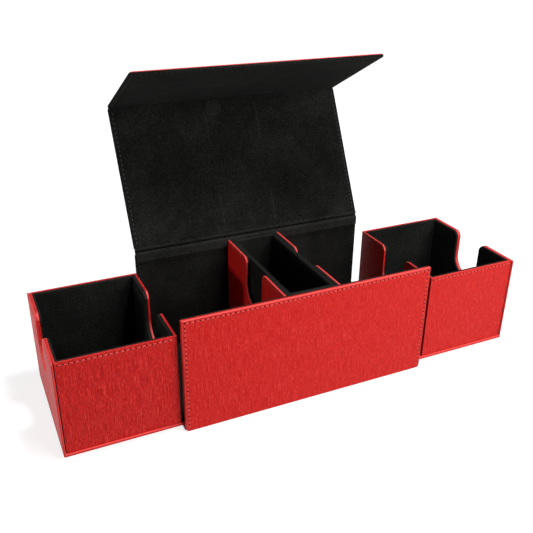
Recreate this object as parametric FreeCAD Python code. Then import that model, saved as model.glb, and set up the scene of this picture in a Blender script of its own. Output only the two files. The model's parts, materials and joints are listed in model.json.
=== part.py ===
import FreeCAD, Part
import os
from math import cos, radians, sin

# A card box with two drawers that draw out at its ends, a lined lid with a front flap,
# and a lift-out dice tray between two dividers. Boards are wrapped in leather outside
# and lined with suede inside. The box stands on Z = 0 with its front towards -Y.
# All sizes are millimetres.

Vector = FreeCAD.Vector

# Sheet stock of the case, lid and flap
cover = 0.8
board = 2.4
lining = 0.8
base_board = 1.6
flap_board = 1.0
lining_inset = 0.2

# Sheet stock of the drawers and dividers
wall_cover = 0.6
drawer_base_board = 1.8
tray_board = 0.9
end_board = 0.9
outer_board = 1.3
divider_board = 1.2
wall_lining = 1.6
tray_lining = 2.5
lining_reveal = 0.3

# Case
case_width = 215.0
case_depth = 122.0
case_height = 98.0
edge_round = 1.0
wall_edge_round = 0.7

# Lid, hinge and flap
lid_gap = 0.4
crease_gap = 1.0
flap_gap = 2.0
flap_lift = 6.7
lid_open = 117.0

# Centre compartment and dice tray
centre_width = 49.0
divider_drop = 0.0
centre_floor = 2.0
dice_drop = 0.4
dice_gap = 0.3
dice_end_gap = 1.0
dice_cover = 0.7
dice_board = 2.1
dice_lining = 0.7

# Drawers
drawer_side_gap = 1.0
drawer_end_gap = 0.5
slide_gap = 0.3
drawer_headroom = 14.7
end_proud = 6.0
left_clear = 1.8
right_clear = 7.1
shell_lip = 1.2
tongue_gap = 3.0
tongue_headroom = 0.4

# Finger notches in the drawers' ends and in the dividers
notch_width = 31.0
notch_depth = 39.0
notch_flare = 6.0

# Magnets in the front and lid, and the flap's thin steel plates that they hold
magnet_diameter = 12.0
magnet_thickness = 1.6
plate_thickness = 0.8
flap_magnet_inset = 14.0
flap_magnet_spacing = 120.0
lid_magnet_inset = 8.0
lid_magnet_x = -16.0
front_magnet_drop = 9.0

# Sizes that follow from the ones above
panel = cover + board + lining
flap_panel = cover + flap_board + lining
hide = cover + board
half_width = case_width / 2
half_depth = case_depth / 2
base_top = cover + base_board + lining
inner_depth = half_depth - panel
lid_bottom = case_height + lid_gap
lid_top = lid_bottom + panel
back_top = lid_bottom - crease_gap
flap_inner = -half_depth - flap_gap
flap_outer = flap_inner - flap_panel
hinge_y = half_depth - panel / 2
hinge_z = lid_bottom + panel / 2
lid_back = half_depth - panel - crease_gap
lid_front = flap_inner + crease_gap

drawer_base = wall_cover + drawer_base_board
tray_wall = wall_cover + tray_board
end_panel = wall_cover + end_board
outer_wall = wall_cover + outer_board
divider_wall = wall_cover + divider_board
drawer_bottom = base_top + slide_gap
drawer_top = case_height - drawer_headroom
shell_top = drawer_bottom + drawer_base
drawer_half = inner_depth - drawer_side_gap
tray_half = drawer_half - shell_lip
closed_inner = centre_width / 2 + drawer_end_gap
drawer_length = half_width + end_proud - closed_inner
tongue = closed_inner - tongue_gap / 2

floor_bottom = shell_top + tongue_headroom
floor_top = floor_bottom + centre_floor
divider_top = case_height - divider_drop
divider_inner = centre_width / 2 - divider_wall - wall_lining

dice_bottom = floor_top + dice_gap
dice_top = case_height - dice_drop
dice_half_x = divider_inner - dice_gap
dice_half_y = inner_depth - dice_end_gap

magnet_radius = magnet_diameter / 2
flap_magnet_z = flap_lift + flap_magnet_inset


def box(x0, x1, y0, y1, z0, z1):
    """A block between two corners, which may be given in either order along X."""
    low_x = min(x0, x1)
    return Part.makeBox(abs(x1 - x0), y1 - y0, z1 - z0, Vector(low_x, y0, z0))


def on_plane(edge, axis, value):
    """Whether both ends of an edge lie at one value along an axis."""
    return all(abs(getattr(v.Point, axis) - value) < 1e-6 for v in edge.Vertexes)


def round_edges(shape, radius, planes):
    """Round every edge that lies on one of the named planes, such as ("y", -60)."""
    edges = [e for e in shape.Edges if any(on_plane(e, axis, value) for axis, value in planes)]
    return shape.makeFillet(radius, edges)


def disc(x, y, z, direction, thickness):
    """A magnet disc from its face at a point, along a direction."""
    return Part.makeCylinder(magnet_radius, thickness, Vector(x, y, z), direction)


def extrude_profile(points):
    """A strip as wide as the case with the given (y, z) outline."""
    corners = [Vector(-half_width, y, z) for y, z in points]
    face = Part.Face(Part.makePolygon(corners + corners[:1]))
    return face.extrude(Vector(case_width, 0, 0))


def notch(x0, x1, top, grow):
    """The cutter of a finger notch: a deep U with flared lips, grown by an offset."""
    half = notch_width / 2 + grow
    lip_y = notch_width / 2 + notch_flare
    lip_z = top - notch_flare
    lip = notch_flare - grow
    mouth = top - grow
    above = top + notch_flare
    low = top - notch_depth + notch_width / 2
    slant = cos(radians(45)) * lip

    def at(y, z):
        return Vector(min(x0, x1), y, z)

    def lip_arc(side):
        start = at(side * lip_y, mouth)
        middle = at(side * (lip_y - slant), lip_z + slant)
        end = at(side * half, lip_z)
        return Part.Arc(start, middle, end).toShape()

    def line(start, end):
        return Part.makeLine(at(*start), at(*end))

    bottom = Part.Arc(at(-half, low), at(0, low - half), at(half, low)).toShape()
    edges = [line((-lip_y, above), (-lip_y, mouth)), lip_arc(-1),
             line((-half, lip_z), (-half, low)), bottom,
             line((half, low), (half, lip_z)), lip_arc(1),
             line((lip_y, mouth), (lip_y, above)), line((lip_y, above), (-lip_y, above))]
    face = Part.Face(Part.Wire(Part.__sortEdges__(edges)))
    return face.extrude(Vector(abs(x1 - x0), 0, 0))


def case_panels():
    """Front, base and back: leather skins with their boards and linings."""
    inner_width = half_width - cover
    lined_width = half_width - lining_inset
    red_inner = half_depth - hide

    front = box(-half_width, half_width, -half_depth, -red_inner, 0, case_height)
    front = round_edges(front, edge_round, [("y", -half_depth)])
    front_pocket = box(-inner_width, inner_width, -half_depth + cover, -red_inner,
                       cover, case_height - cover)
    magnets = front_magnets()
    front_board = front_pocket.cut(magnets)

    back = box(-half_width, half_width, red_inner, half_depth, 0, back_top)
    back_edges = [e for e in back.Edges
                  if on_plane(e, "y", half_depth) and not on_plane(e, "z", back_top)]
    back = back.makeFillet(edge_round, back_edges)
    back_pocket = box(-inner_width, inner_width, red_inner, half_depth - cover, cover, back_top)

    base = box(-half_width, half_width, -red_inner, red_inner, 0, cover + base_board)
    base_pocket = box(-inner_width, inner_width, -red_inner, red_inner, cover, cover + base_board)

    return {
        "front_cover": front.cut(front_pocket),
        "front_board": front_board,
        "front_lining": box(-inner_width, inner_width, -red_inner, -inner_depth,
                            base_top, case_height - lining_reveal),
        "front_magnets": magnets,
        "back_cover": back.cut(back_pocket),
        "back_board": back_pocket,
        "back_lining": box(-lined_width, lined_width, inner_depth, red_inner, base_top, back_top),
        "base_cover": base.cut(base_pocket),
        "base_board": base_pocket,
        "base_lining": box(-inner_width, inner_width, -red_inner, red_inner,
                           cover + base_board, base_top),
    }


def front_magnets():
    """Two low discs that hold the flap's plates, and one under the top edge for the lid's magnet."""
    face = -half_depth + cover
    places = [(-flap_magnet_spacing / 2, flap_magnet_z), (flap_magnet_spacing / 2, flap_magnet_z),
              (lid_magnet_x, case_height - front_magnet_drop)]
    return Part.makeCompound([disc(x, face, z, Vector(0, 1, 0), magnet_thickness)
                              for x, z in places])


def divider(side):
    """One divider: a notched board in leather on the drawer's side, lined inside."""
    outer = side * centre_width / 2
    red_inner = side * (centre_width / 2 - divider_wall)
    board_outer = side * (centre_width / 2 - wall_cover)
    inner = side * divider_inner
    end = inner_depth - wall_cover

    skin = box(red_inner, outer, -inner_depth, inner_depth, floor_top, divider_top)
    skin = round_edges(skin, wall_edge_round, [("x", outer)])
    skin = skin.cut(notch(red_inner, outer, divider_top, 0))
    pocket = box(red_inner, board_outer, -end, end, floor_top, divider_top - wall_cover)
    pocket = pocket.cut(notch(red_inner, board_outer, divider_top, wall_cover))
    liner = box(inner, red_inner, -inner_depth, inner_depth, floor_top, divider_top - lining_reveal)
    liner = liner.cut(notch(inner, red_inner, divider_top, lining_reveal))
    return skin.cut(pocket), pocket, liner


def centre():
    """The two dividers and the raised floor between them, over the drawers' tongues."""
    nodes = {"centre_floor": box(-centre_width / 2, centre_width / 2, -inner_depth, inner_depth,
                                 floor_bottom, floor_top)}
    for name, side in (("left", -1), ("right", 1)):
        skin, pocket, liner = divider(side)
        nodes[name + "_divider_cover"] = skin
        nodes[name + "_divider_board"] = pocket
        nodes[name + "_divider_lining"] = liner
    return nodes


def dice_tray():
    """A deep open tray with a wrapped rim, which lifts out of the centre compartment."""
    def inset(depth, z0, z1):
        half_x = dice_half_x - depth
        half_y = dice_half_y - depth
        return box(-half_x, half_x, -half_y, half_y, z0, z1)

    wrap = round_edges(inset(0, dice_bottom, dice_top), wall_edge_round, [("z", dice_top)])
    board_floor = dice_bottom + dice_cover
    lining_floor = board_floor + dice_board
    hollow_floor = lining_floor + dice_lining
    board_in = dice_cover + dice_board
    hollow_in = board_in + dice_lining

    rim_bottom = dice_top - dice_cover
    pocket = inset(dice_cover, board_floor, rim_bottom)
    lining_block = inset(board_in, lining_floor, rim_bottom)
    hollow = inset(hollow_in, hollow_floor, dice_top + dice_cover)
    rim_hole = inset(board_in, rim_bottom, dice_top + dice_cover)
    return {
        "dice_tray_wrap": wrap.cut(pocket).cut(rim_hole),
        "dice_tray_boards": pocket.cut(lining_block),
        "dice_tray_lining": lining_block.cut(hollow),
    }


def lid_and_flap():
    """The lid and flap as they lie when shut, to be turned open about the hinge."""
    inner_width = half_width - cover
    lined_width = half_width - lining_inset
    lid_lining_top = lid_bottom + lining
    flap_red = flap_inner - lining
    flap_top = lid_bottom - crease_gap

    lid = box(-half_width, half_width, lid_front, lid_back, lid_lining_top, lid_top)
    lid_sides = [e for e in lid.Edges if on_plane(e, "z", lid_top)
                 and (on_plane(e, "x", half_width) or on_plane(e, "x", -half_width))]
    lid = lid.makeFillet(edge_round, lid_sides)
    lid_pocket = box(-inner_width, inner_width, lid_front, lid_back,
                     lid_lining_top, lid_top - cover)
    lid_magnet = disc(lid_magnet_x, flap_inner + lid_magnet_inset, lid_lining_top,
                      Vector(0, 0, 1), magnet_thickness)

    flap = box(-half_width, half_width, flap_outer, flap_red, flap_lift, flap_top)
    flap_rim = [e for e in flap.Edges
                if on_plane(e, "y", flap_outer) and not on_plane(e, "z", flap_top)]
    flap = flap.makeFillet(edge_round, flap_rim)
    flap_pocket = box(-inner_width, inner_width, flap_outer + cover, flap_red,
                      flap_lift + cover, flap_top)
    flap_plates = Part.makeCompound([
        disc(side * flap_magnet_spacing / 2, flap_red, flap_magnet_z,
             Vector(0, -1, 0), plate_thickness) for side in (-1, 1)])

    lid_nodes = {
        "lid_cover": lid.cut(lid_pocket),
        "lid_board": lid_pocket.cut(lid_magnet),
        "lid_lining": box(-lined_width, lined_width, lid_front, lid_back,
                          lid_bottom, lid_lining_top),
        "lid_magnet": lid_magnet,
        "fold_leather": fold_leather(),
        "fold_lining": fold_lining(),
    }
    flap_nodes = {
        "flap_cover": flap.cut(flap_pocket),
        "flap_board": flap_pocket.cut(flap_plates),
        "flap_lining": box(-lined_width, lined_width, flap_red, flap_inner,
                           flap_lift + lining_reveal, flap_top),
        "flap_plates": flap_plates,
    }
    turned = {}
    for name, shape in {**lid_nodes, **flap_nodes}.items():
        turned[name] = shape.rotated(Vector(0, hinge_y, hinge_z), Vector(-1, 0, 0), lid_open)
    return turned


def fold_leather():
    """The leather that rounds the corner between lid and flap."""
    def at(y, z):
        return Vector(-half_width, y, z)

    outer = flap_panel
    inner = flap_panel - cover
    centre_z = lid_top - flap_panel
    flap_top = lid_bottom - crease_gap

    def corner_arc(radius):
        slant = cos(radians(45)) * radius
        return Part.Arc(at(flap_inner, centre_z + radius),
                        at(flap_inner - slant, centre_z + slant),
                        at(flap_inner - radius, centre_z)).toShape()

    def line(start, end):
        return Part.makeLine(at(*start), at(*end))

    edges = [line((lid_front, lid_top), (flap_inner, lid_top)),
             corner_arc(outer),
             line((flap_inner - outer, centre_z), (flap_inner - outer, flap_top)),
             line((flap_inner - outer, flap_top), (flap_inner - inner, flap_top)),
             line((flap_inner - inner, flap_top), (flap_inner - inner, centre_z)),
             corner_arc(inner),
             line((flap_inner, lid_top - cover), (lid_front, lid_top - cover)),
             line((lid_front, lid_top - cover), (lid_front, lid_top))]
    face = Part.Face(Part.Wire(Part.__sortEdges__(edges)))
    return face.extrude(Vector(case_width, 0, 0))


def fold_lining():
    """The suede in the crease between lid and flap."""
    flap_top = lid_bottom - crease_gap
    return extrude_profile([(lid_front, lid_bottom), (flap_inner, lid_bottom),
                            (flap_inner, flap_top), (flap_inner - lining, flap_top),
                            (flap_inner - lining, lid_bottom + lining),
                            (lid_front, lid_bottom + lining)])


def hinge():
    """The leather and suede between the back and the open lid, pressed together in a groove."""
    half_panel = panel / 2
    reach = half_panel + crease_gap

    def frame_at(angle):
        along = (-cos(radians(angle)), sin(radians(angle)))
        inward = (-sin(radians(angle)), -cos(radians(angle)))
        return along, inward

    def point(angle, distance, depth):
        along, inward = frame_at(angle)
        return (hinge_y + distance * along[0] + depth * inward[0],
                hinge_z + distance * along[1] + depth * inward[1])

    upright = 90
    middle = (upright + lid_open) / 2
    leather_in = cover - half_panel
    groove = leather_in + lining

    def strip(outer, outer_mid, inner, inner_mid):
        return extrude_profile([point(upright, -reach, outer), point(middle, 0, outer_mid),
                                point(lid_open, reach, outer), point(lid_open, reach, inner),
                                point(middle, 0, inner_mid), point(upright, -reach, inner)])

    return {
        "hinge_leather": strip(-half_panel, -half_panel, leather_in, leather_in),
        "hinge_lining": strip(half_panel - lining, leather_in, half_panel, groove),
    }


def drawer(name, side, clear):
    """One drawer: an L of end panel and base with a tongue, carrying a lined tray."""
    inner_end = half_width + clear

    def x(distance):
        """A place along the drawer, measured outwards from the tray's inner end."""
        return side * (inner_end + distance)

    shell_in = drawer_length - end_panel
    tray_in = shell_in - outer_wall
    red_half = tray_half - tray_wall
    lined_half = red_half - tray_lining
    floor_liner_top = shell_top + wall_lining
    board_top = drawer_top - wall_cover
    lining_top = drawer_top - lining_reveal

    end_block = box(x(shell_in), x(drawer_length), -drawer_half, drawer_half,
                    drawer_bottom, drawer_top)
    end_block = round_edges(end_block, wall_edge_round, [("x", x(drawer_length))])
    end_block = end_block.cut(notch(x(shell_in), x(drawer_length), drawer_top, 0))
    base_block = box(x(-tongue), x(shell_in), -drawer_half, drawer_half, drawer_bottom, shell_top)
    end_plate = box(x(shell_in), x(drawer_length - wall_cover), -tray_half, tray_half,
                    shell_top, board_top)
    end_plate = end_plate.cut(notch(x(shell_in), x(drawer_length), drawer_top, wall_cover))
    base_half = drawer_half - wall_cover
    base_low = drawer_bottom + wall_cover
    base_plate = box(x(wall_cover), x(shell_in), -tray_half, tray_half, base_low, shell_top)
    tongue_board = box(x(-tongue + wall_cover), x(wall_cover), -base_half, base_half,
                       base_low, shell_top - wall_cover)
    base_plate = base_plate.fuse(tongue_board).removeSplitter()
    shell = end_block.fuse(base_block).removeSplitter()

    tray = box(x(0), x(shell_in), -tray_half, tray_half, shell_top, drawer_top)
    tray = round_edges(tray, wall_edge_round, [("z", drawer_top)])
    hollow = box(x(tray_wall), x(tray_in), -red_half, red_half, shell_top, drawer_top)
    tray = tray.cut(hollow)
    tray = tray.cut(notch(x(0), x(shell_in), drawer_top, 0))

    long_in = x(wall_cover)
    long_out = x(shell_in - wall_cover)
    front_wall = box(long_in, long_out, -tray_half + wall_cover, -red_half, shell_top, board_top)
    back_wall = box(long_in, long_out, red_half, tray_half - wall_cover, shell_top, board_top)

    def end_wall(near, far, half, top, grow):
        plate = box(x(near), x(far), -half, half, shell_top, top)
        return plate.cut(notch(x(near), x(far), drawer_top, grow))

    inner_plate = end_wall(wall_cover, tray_wall, red_half, board_top, wall_cover)
    outer_plate = end_wall(tray_in, shell_in - wall_cover, red_half, board_top, wall_cover)
    inner_liner = end_wall(tray_wall, tray_wall + tray_lining, red_half, lining_top, lining_reveal)
    outer_liner = end_wall(tray_in - wall_lining, tray_in, red_half, lining_top, lining_reveal)
    side_in = x(tray_wall + tray_lining)
    side_out = x(tray_in - wall_lining)

    pieces = {
        "shell_cover": shell.cut(end_plate).cut(base_plate),
        "end_board": end_plate,
        "base_board": base_plate,
        "tray_cover": tray.cut(front_wall).cut(back_wall).cut(inner_plate).cut(outer_plate),
        "front_wall_board": front_wall,
        "back_wall_board": back_wall,
        "inner_wall_board": inner_plate,
        "outer_wall_board": outer_plate,
        "front_lining": box(side_in, side_out, -red_half, -lined_half, shell_top, lining_top),
        "back_lining": box(side_in, side_out, lined_half, red_half, shell_top, lining_top),
        "inner_end_lining": inner_liner,
        "outer_end_lining": outer_liner,
        "floor_lining": box(side_in, side_out, -lined_half, lined_half,
                            shell_top, floor_liner_top),
    }
    return {name + "_drawer_" + piece: shape for piece, shape in pieces.items()}


def build():
    """Every piece of the box by name."""
    nodes = {}
    nodes.update(case_panels())
    nodes.update(centre())
    nodes.update(dice_tray())
    nodes.update(hinge())
    nodes.update(lid_and_flap())
    nodes.update(drawer("left", -1, left_clear))
    nodes.update(drawer("right", 1, right_clear))
    return nodes


os.makedirs("parts", exist_ok=True)
for node, shape in build().items():
    shape.exportStep("parts/" + node + ".step")
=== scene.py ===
# %% [markdown]
# # A card box with two drawers
# The box is grey board, wrapped in red leather outside and lined with black suede inside. The packed
# parts give every size and every moving body. This lesson dresses them: it models the leather, the suede
# and the stitching over the boards, gives each its finish, and sets a plain studio round the box.

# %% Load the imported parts
import json
from math import cos, pi, radians, sin

import bmesh
import bpy
from mathutils import Matrix, Vector
from mathutils.geometry import interpolate_bezier


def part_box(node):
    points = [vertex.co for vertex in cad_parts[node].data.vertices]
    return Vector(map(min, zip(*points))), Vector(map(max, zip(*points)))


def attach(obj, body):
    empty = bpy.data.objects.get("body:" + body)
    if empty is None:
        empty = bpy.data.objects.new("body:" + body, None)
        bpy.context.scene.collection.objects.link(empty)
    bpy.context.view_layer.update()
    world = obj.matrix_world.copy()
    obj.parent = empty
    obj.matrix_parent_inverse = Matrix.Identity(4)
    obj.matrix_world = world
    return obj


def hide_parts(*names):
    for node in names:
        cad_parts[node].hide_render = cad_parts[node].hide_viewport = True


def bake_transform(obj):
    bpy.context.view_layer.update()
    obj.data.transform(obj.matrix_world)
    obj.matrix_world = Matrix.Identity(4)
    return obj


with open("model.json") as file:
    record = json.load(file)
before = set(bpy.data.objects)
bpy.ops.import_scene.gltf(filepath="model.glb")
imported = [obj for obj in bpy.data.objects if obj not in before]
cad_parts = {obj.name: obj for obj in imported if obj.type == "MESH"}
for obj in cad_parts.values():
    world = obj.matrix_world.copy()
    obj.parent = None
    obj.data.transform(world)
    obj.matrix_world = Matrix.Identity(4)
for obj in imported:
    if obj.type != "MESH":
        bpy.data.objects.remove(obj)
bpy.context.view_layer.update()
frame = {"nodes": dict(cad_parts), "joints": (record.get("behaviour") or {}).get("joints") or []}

MM = 0.001
nodes = frame["nodes"]
joints = {joint["name"]: joint for joint in frame["joints"]}

# %% [markdown]
# ## The camera
# The photograph was taken from the left front and above. A camera could be moved by eye until the corners
# meet, but a fit of the box's corners and edges gives its place, its angles and its lens at once, so
# those are used.

# %% Camera
camera_place = Vector((-232.5, -466.6, 348.1)) * MM
camera_azimuth = radians(-25.19)
camera_elevation = radians(26.14)
camera_roll = radians(0.64)
camera_lens = 46.98

level = cos(camera_elevation)
backward = Vector((sin(camera_azimuth) * level, -cos(camera_azimuth) * level, sin(camera_elevation)))
camera_data = bpy.data.cameras.new("camera")
camera_data.lens = camera_lens
camera_data.clip_start = 0.01
camera = bpy.data.objects.new("camera", camera_data)
bpy.context.scene.collection.objects.link(camera)
camera.rotation_mode = "QUATERNION"
camera_tilt = Matrix.Rotation(camera_roll, 3, "Z").to_quaternion()
camera.rotation_quaternion = (-backward).to_track_quat("-Z", "Y") @ camera_tilt
camera.location = camera_place
bpy.context.scene.camera = camera
print("camera at", [round(value, 3) for value in camera.location])

# %% [markdown]
# ## Hand tools
# Most pieces start as a block, are shaped in edit mode and are finished with modifiers, as at the
# keyboard. These helpers wrap the few moves that they need: picking a piece up, selecting edges or faces
# by their place, rounding them over, and cutting one shape out of another.

# %% Pick up and select
TINY = 1e-5


def put_down():
    """Leave edit mode and deselect everything."""
    if bpy.context.mode != "OBJECT":
        bpy.ops.object.mode_set(mode="OBJECT")
    bpy.ops.object.select_all(action="DESELECT")


def pick_up(piece):
    """Make one piece the only selected and active one."""
    put_down()
    piece.select_set(True)
    bpy.context.view_layer.objects.active = piece


def settle(piece):
    """Put a piece's place, turn and size into its mesh."""
    pick_up(piece)
    bpy.ops.object.transform_apply(location=True, rotation=True, scale=True)


def select(piece, kind, test):
    """Open a piece in edit mode with only those edges or faces selected that pass a test."""
    pick_up(piece)
    bpy.ops.object.mode_set(mode="EDIT")
    bpy.ops.mesh.select_mode(type=kind)
    bpy.ops.mesh.select_all(action="DESELECT")
    shape = bmesh.from_edit_mesh(piece.data)
    for item in list(shape.edges if kind == "EDGE" else shape.faces):
        if test(item):
            item.select_set(True)
    bmesh.update_edit_mesh(piece.data)


def lies_on(item, axis, value):
    """Whether every corner of an edge or face lies at one value along an axis."""
    return all(abs(corner.co[axis] - value) < TINY for corner in item.verts)


print("picking up and selecting: ready")

# %% Shape, cut and join
spare = 1 * MM
sharp_angle = radians(40)


def modify(piece, kind, **settings):
    """Add one modifier, set it up and apply it."""
    modifier = piece.modifiers.new(kind.lower(), kind)
    for name, value in settings.items():
        setattr(modifier, name, value)
    pick_up(piece)
    bpy.ops.object.modifier_apply(modifier=modifier.name)


def block(name, corner, opposite):
    """A block between two opposite corners."""
    put_down()
    low = Vector(map(min, corner, opposite))
    high = Vector(map(max, corner, opposite))
    bpy.ops.mesh.primitive_cube_add(size=1, location=(low + high) / 2, scale=high - low)
    piece = bpy.context.object
    piece.name = name
    settle(piece)
    return piece


def round_over(piece, test, radius, segments=4):
    """Round the edges that pass a test."""
    select(piece, "EDGE", test)
    bpy.ops.mesh.bevel(offset=radius, segments=segments, affect="EDGES")
    put_down()


def soften(piece, radius, segments=3):
    """Round every sharp edge of a piece a little."""
    modify(piece, "BEVEL", width=radius, segments=segments, limit_method="ANGLE", angle_limit=sharp_angle)


def carve(piece, cutter):
    """Cut one shape out of a piece and throw the cutter away."""
    modify(piece, "BOOLEAN", operation="DIFFERENCE", solver="EXACT", object=cutter)
    bpy.data.objects.remove(cutter)


def weld(piece, other):
    """Join another shape to a piece and throw the other one away."""
    modify(piece, "BOOLEAN", operation="UNION", solver="EXACT", object=other)
    bpy.data.objects.remove(other)


def press_board(piece, *boards):
    """Press the pockets of packed boards into a cover."""
    for board in boards:
        copy = nodes[board].copy()
        copy.data = nodes[board].data.copy()
        bpy.context.scene.collection.objects.link(copy)
        select(copy, "FACE", lambda face: True)
        bpy.ops.mesh.remove_doubles(threshold=TINY)
        put_down()
        carve(piece, copy)


print("shaping, cutting and joining: ready")

# %% [markdown]
# ## Finishing a piece
# Leather grain has a direction, so each piece carries a UV map at real size, in metres, in which the
# grain runs up its walls. Leather and suede are a little paler where they are stretched round a board, and
# the finishes paint a highlight on the rounded edges too, strongest on those that look up. So the rounded
# edges are marked in an attribute of the mesh, by which the finishes make them paler. The normals are
# weighted by face area, so that a flat panel stays flat beside its rounded edges. Then the piece gets its
# finish and rides on the body that carries it.

# %% Grain map and rims
# Share of the rims' painted highlight that rounded faces get when they don't look up.
side_highlight = 0.4
flat_match = 0.985


def mark_rims_for_highlight(mesh):
    """Mark rounded edges, which face along no axis, for a painted highlight, most of all those that look up."""
    rim = mesh.attributes.new("rim", "FLOAT", "CORNER")
    for face in mesh.polygons:
        rounded = max(abs(value) for value in face.normal) < flat_match
        # A painted highlight: the sides get a part of it, and faces that look up get more, as the light falls
        # from above.
        highlit = side_highlight + (1 - side_highlight) * max(0.0, face.normal.z)
        for loop in face.loop_indices:
            rim.data[loop].value = highlit if rounded else 0.0


def lay_grain(piece):
    """Flatten each face along its main axis into the UV map, at real size, and mark the rims."""
    mesh = piece.data
    layer = mesh.uv_layers.active or mesh.uv_layers.new()
    layer.name = "grain"
    flat_axes = ((1, 2), (0, 2), (0, 1))
    for face in mesh.polygons:
        facing = max(range(3), key=lambda axis: abs(face.normal[axis]))
        across, along = flat_axes[facing]
        for loop in face.loop_indices:
            place = mesh.vertices[mesh.loops[loop].vertex_index].co
            layer.data[loop].uv = (place[across], place[along])
    mark_rims_for_highlight(mesh)


# The rims' paleness is a painted highlight, strongest on rims that look up.
print("rims worn at the sides to", side_highlight)

# %% Smooth and dress


def smooth(piece):
    """Shade round edges smooth and keep flat faces flat."""
    pick_up(piece)
    bpy.ops.object.shade_smooth_by_angle(angle=sharp_angle)
    modify(piece, "WEIGHTED_NORMAL", keep_sharp=True)


def wear(piece, finish):
    """Put a finish on a piece; the slot name that comes with the finish is not used."""
    material, slot = finish
    piece.data.materials.clear()
    piece.data.materials.append(material)


def dress(piece, body, finish, stands_for=(), mapped=False):
    """Give a modelled piece its finish and the body it moves with."""
    if not mapped:
        lay_grain(piece)
    smooth(piece)
    wear(piece, finish)
    if body:
        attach(piece, body)
    if stands_for:
        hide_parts(*stands_for)
    print(piece.name, "faces:", len(piece.data.polygons))
    return piece


print("edges stay sharp above", round(sharp_angle, 2), "radians")

# %% [markdown]
# ## Node helpers
# A finish is a small tree of shader nodes. These helpers add a node with its settings and make the links.

# %% Node helpers


def new_finish(name):
    """A new material with its nodes and its surface shader."""
    material = bpy.data.materials.new(name)
    material.use_nodes = True
    tree = material.node_tree
    return material, tree, tree.nodes["Principled BSDF"]


def add(tree, kind, inputs=(), **settings):
    """Add a node, set its properties, and set or link its inputs."""
    made = tree.nodes.new("ShaderNode" + kind)
    for name, value in settings.items():
        setattr(made, name, value)
    for key, value in dict(inputs).items():
        if isinstance(value, bpy.types.NodeSocket):
            tree.links.new(value, made.inputs[key])
        else:
            made.inputs[key].default_value = value
    return made


def ramp(tree, factor, *stops):
    """A colour ramp with (position, colour) stops."""
    made = add(tree, "ValToRGB", {"Fac": factor})
    band = made.color_ramp
    while len(band.elements) < len(stops):
        band.elements.new(1.0)
    for element, (position, colour) in zip(band.elements, stops):
        element.position = position
        element.color = (*colour, 1.0)
    return made.outputs["Color"]


def stretch(tree, low, high, value, to_low, to_high):
    """Map a value from one range to another, held at the ends."""
    inputs = {"Value": value, "From Min": low, "From Max": high, "To Min": to_low, "To Max": to_high}
    return add(tree, "MapRange", inputs, clamp=True).outputs["Result"]


def reckon(tree, operation, *values):
    """The result of one sum on its values."""
    return add(tree, "Math", enumerate(values), operation=operation).outputs["Value"]


def painted_rim_highlight(tree, share):
    """A share of the rounded edges' paleness, partly stretched leather and partly painted highlight, and 0 on
    flat faces.
    """
    return reckon(tree, "MULTIPLY", add(tree, "Attribute", attribute_name="rim").outputs["Fac"], share)


def soft_noise(tree, place, size, detail):
    """Noise whose lumps have a size, on some coordinates."""
    return add(tree, "TexNoise", {"Vector": place, "Scale": 1 / size, "Detail": detail}).outputs["Fac"]


def raise_grain(tree, surface, height, strength, distance):
    """Let a height raise a surface a little."""
    bump = add(tree, "Bump", {"Height": height, "Strength": strength, "Distance": distance})
    tree.links.new(bump.outputs["Normal"], surface.inputs["Normal"])


print("node helpers: ready")

# %% [markdown]
# ## Red leather
# The real cover is a thin embossed leather with a grain of upright streaks, under half a millimetre wide
# and three to fifteen long. A picture of it could be used, but noise stretched along the UV map gives the
# same streaks on every face with no picture. The streaks change the colour and the gloss and raise the
# surface a little. The rims are paler, partly where the leather is stretched and partly as a painted
# highlight, strongest on rims that look up. The left drawer's tray is the same leather, but its finish is
# made a second time with darker colours and stronger streaks: painted shade, and the relief that raking
# light from the left brings out.

# %% Grain of the leather
streak_width = 0.42 * MM
streak_length = 15 * MM
fine_width = 0.3 * MM
fine_length = 3.2 * MM
streak_roughness = 0.6
patch_size = 45 * MM
patch_share = 0.02


def streaks(tree, place, width, length):
    """Noise drawn out along the grain."""
    scale = (1 / width, 1 / length, 1)
    moved = add(tree, "Mapping", {"Vector": place, "Scale": scale}).outputs["Vector"]
    inputs = {"Vector": moved, "Scale": 1.0, "Detail": 1, "Roughness": streak_roughness}
    return add(tree, "TexNoise", inputs).outputs["Fac"]


def leather_grain(tree, coarse_share):
    """The streaks, and the streaks with faint large patches added."""
    place = add(tree, "UVMap", uv_map="grain").outputs["UV"]
    coarse = streaks(tree, place, streak_width, streak_length)
    fine = streaks(tree, place, fine_width, fine_length)
    coarse_part = reckon(tree, "MULTIPLY", coarse, coarse_share)
    grain = reckon(tree, "MULTIPLY_ADD", fine, 1 - coarse_share, coarse_part)
    patches = soft_noise(tree, place, patch_size, 2)
    return grain, reckon(tree, "MULTIPLY_ADD", patches, patch_share, grain)


print("streaks of", streak_length / MM, "and", fine_length / MM, "mm")

# %% Red leather
grain_stops = (0.38, 0.52, 0.64)
grain_range = (0.35, 0.7)
roughness_range = (0.58, 0.42)
grain_height = 0.15 * MM
grain_strength = 0.9
leather_gloss = 0.24
# The rims mix towards a pale pink: partly stretched leather, partly a painted highlight.
rim_highlight_mix = 0.5
rim_highlight_colour = (0.88, 0.13, 0.12, 1)


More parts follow.
